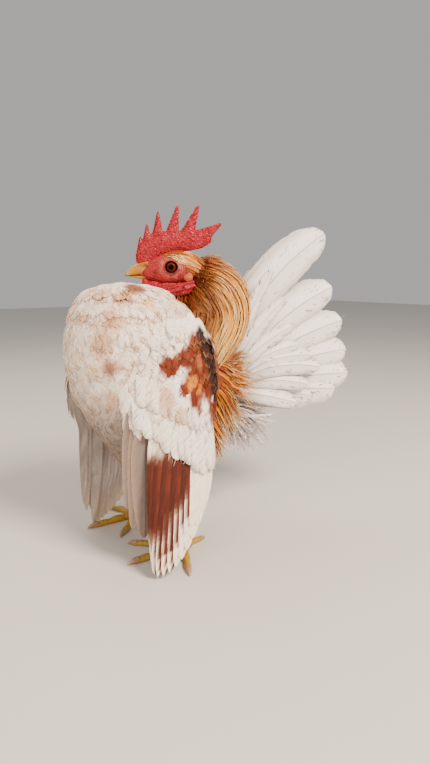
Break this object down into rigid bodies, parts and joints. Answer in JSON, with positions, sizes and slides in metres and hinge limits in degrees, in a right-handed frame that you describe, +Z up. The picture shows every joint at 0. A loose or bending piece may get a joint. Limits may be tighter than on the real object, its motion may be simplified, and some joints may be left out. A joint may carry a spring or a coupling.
{
  "type": "serama cock",
  "caption": "Small upright cock with a full breast drawn high, head tucked behind it, wings hung straight down and a raised white fan tail.",
  "frame": {"origin": "on the floor under the middle of the bird's box, level with the soles of its feet", "axes": "+Z up, -Y the way the breast faces, +Y towards the tail, +X the bird's left side"},
  "size_m": [0.14, 0.2248, 0.2384],
  "materials": {
    "body_white": "small overlapping body feathers, white to cream with tan edges",
    "hackle_gold": "long narrow neck and saddle feathers, golden orange with pale straw tips and rust bases",
    "wing_white": "wing coverts, white with rust brown patches",
    "flight_rust": "flight feathers, rust brown outer vanes and white inner edges, pale shafts, grey undersides",
    "tail_white": "broad tail feathers, silvery white with thin shafts and a few small dark flecks",
    "face_red": "bare red skin, finely grained, on face, comb and wattles",
    "lobe_tan": "bare tan to pink skin of the ear lobes",
    "beak_horn": "smooth yellow horn",
    "eye_brown": "wet dark brown eye",
    "leg_yellow": "yellow scaled skin of shanks and toes",
    "claw_horn": "pale horn of claws and spurs"
  },
  "bodies": {
    "root": {"beak_lower": "beak_horn", "beak_upper": "beak_horn", "claw_hind_left": "claw_horn", "claw_hind_right": "claw_horn", "claw_inner_left": "claw_horn", "claw_inner_right": "claw_horn", "claw_middle_left": "claw_horn", "claw_middle_right": "claw_horn", "claw_outer_left": "claw_horn", "claw_outer_right": "claw_horn", "comb": "face_red", "earlobe_left": "lobe_tan", "earlobe_right": "lobe_tan", "eye_left": "eye_brown", "eye_right": "eye_brown", "foot_left": "leg_yellow", "foot_right": "leg_yellow", "head": "face_red", "neck": "hackle_gold", "shank_left": "leg_yellow", "shank_right": "leg_yellow", "spur_left": "claw_horn", "spur_right": "claw_horn", "tail": "tail_white", "thigh_left": "body_white", "thigh_right": "body_white", "toe_hind_left": "leg_yellow", "toe_hind_right": "leg_yellow", "toe_inner_left": "leg_yellow", "toe_inner_right": "leg_yellow", "toe_middle_left": "leg_yellow", "toe_middle_right": "leg_yellow", "toe_outer_left": "leg_yellow", "toe_outer_right": "leg_yellow", "torso": "body_white", "wattle_left": "face_red", "wattle_right": "face_red", "wing_flight_left": "flight_rust", "wing_flight_right": "flight_rust", "wing_left": "wing_white", "wing_right": "wing_white"}
  },
  "joints": []
}
